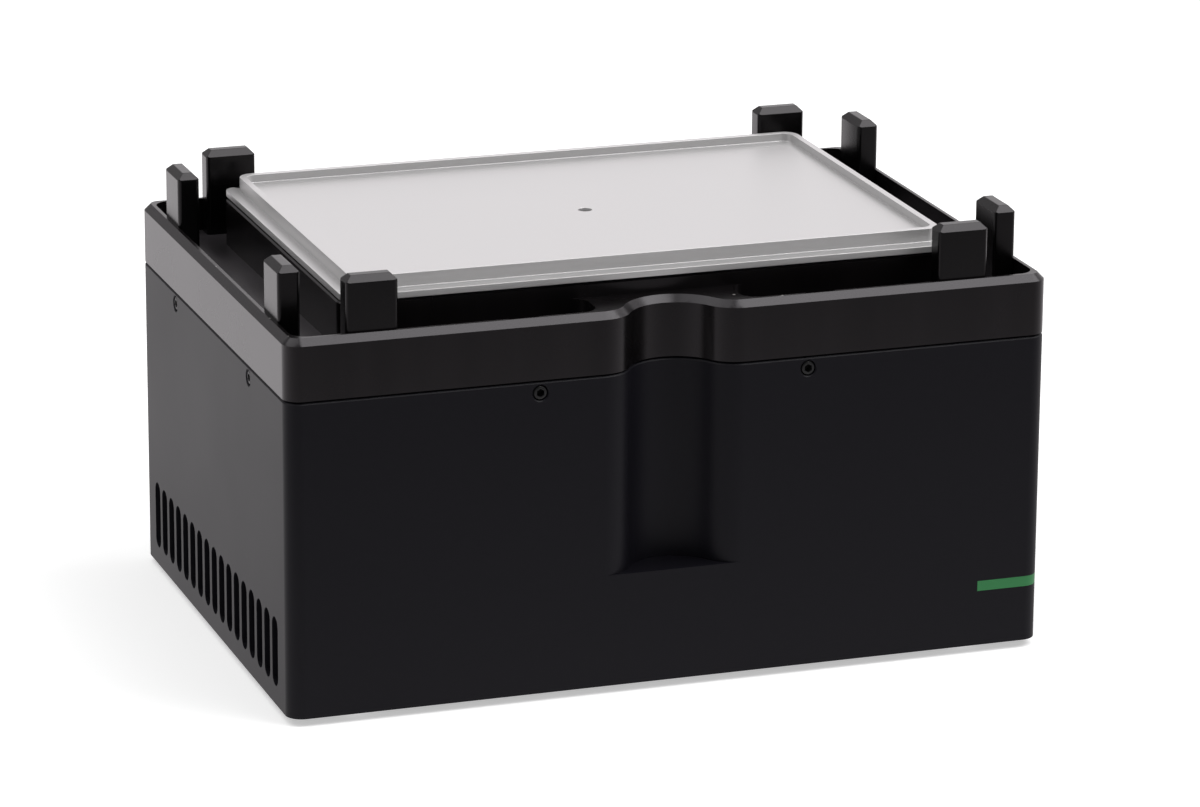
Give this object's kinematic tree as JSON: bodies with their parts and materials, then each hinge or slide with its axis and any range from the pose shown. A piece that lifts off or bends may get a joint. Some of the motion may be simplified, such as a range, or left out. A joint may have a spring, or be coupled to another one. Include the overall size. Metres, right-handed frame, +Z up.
{
  "type": "microplate incubator",
  "caption": "Low black bench box with a flat, stepped aluminium heating and cooling plate on top, framed by corner pegs that hold a microplate; grip groove, side vents.",
  "frame": {"origin": "on the table plane under the middle of the body's bounding box", "axes": "+X along the long front side to the right, +Y from front to rear, +Z up"},
  "size_m": [0.14, 0.098, 0.0792],
  "materials": {
    "shell_black": "black anodised, fine satin",
    "frame_black": "machined black acetal, satin",
    "peg_black": "machined black acetal, satin",
    "screw_black": "black oxide",
    "screw_steel": "bright zinc",
    "gasket_black": "matt",
    "plate_aluminium": "clear anodised, bead blasted",
    "block_aluminium": "milled",
    "foam_grey": "closed-cell foam",
    "ceramic_white": "matt",
    "pad_grey": "thermal pad",
    "sensor_steel": "polished",
    "sink_aluminium": "extruded, clear anodised",
    "baffle_steel": "zinc-plated sheet",
    "fan_plastic": "moulded",
    "rotor_plastic": "moulded",
    "base_metal": "powder coat",
    "foot_rubber": "matt",
    "board_green": "solder mask",
    "chip_black": "moulded",
    "brass_plated": "nickel plated",
    "socket_black": "moulded",
    "port_metal": "tin plated",
    "stripe_green": "satin film"
  },
  "bodies": {
    "body": {"housing_shell": "shell_black", "top_frame": "frame_black", "corner_pegs_wide": "peg_black", "corner_pegs_narrow": "peg_black", "peg_screws": "screw_steel", "frame_screws": "screw_black", "seam_gasket": "gasket_black", "plate_gasket": "gasket_black", "thermal_plate": "plate_aluminium", "cold_block": "block_aluminium", "block_screws": "screw_steel", "clamp_screws": "screw_steel", "insulation_collar": "foam_grey", "module_foam": "foam_grey", "peltier_modules": "ceramic_white", "thermal_pads": "pad_grey", "temperature_sensor": "sensor_steel", "heat_sink": "sink_aluminium", "sink_screws": "screw_steel", "air_baffle": "baffle_steel", "baffle_screws": "screw_steel", "fan_frame_left": "fan_plastic", "fan_frame_right": "fan_plastic", "fan_screws": "screw_steel", "base_plate": "base_metal", "base_screws": "screw_steel", "rubber_feet": "foot_rubber", "control_board": "board_green", "board_components": "chip_black", "board_standoffs": "brass_plated", "board_screws": "screw_steel", "power_socket": "socket_black", "socket_nut": "port_metal", "serial_port": "port_metal", "port_screws": "port_metal", "accent_stripe": "stripe_green"},
    "rotor_left": {"fan_rotor_left": "rotor_plastic"},
    "rotor_right": {"fan_rotor_right": "rotor_plastic"}
  },
  "joints": [
    {"name": "fan_left_spin", "type": "hinge", "parent": "body", "child": "rotor_left", "pos_m": [-0.031, 0, 0.0218], "axis": [0, 0, 1], "continuous": true},
    {"name": "fan_right_spin", "type": "hinge", "parent": "body", "child": "rotor_right", "pos_m": [0.031, 0, 0.0218], "axis": [0, 0, 1], "continuous": true}
  ]
}
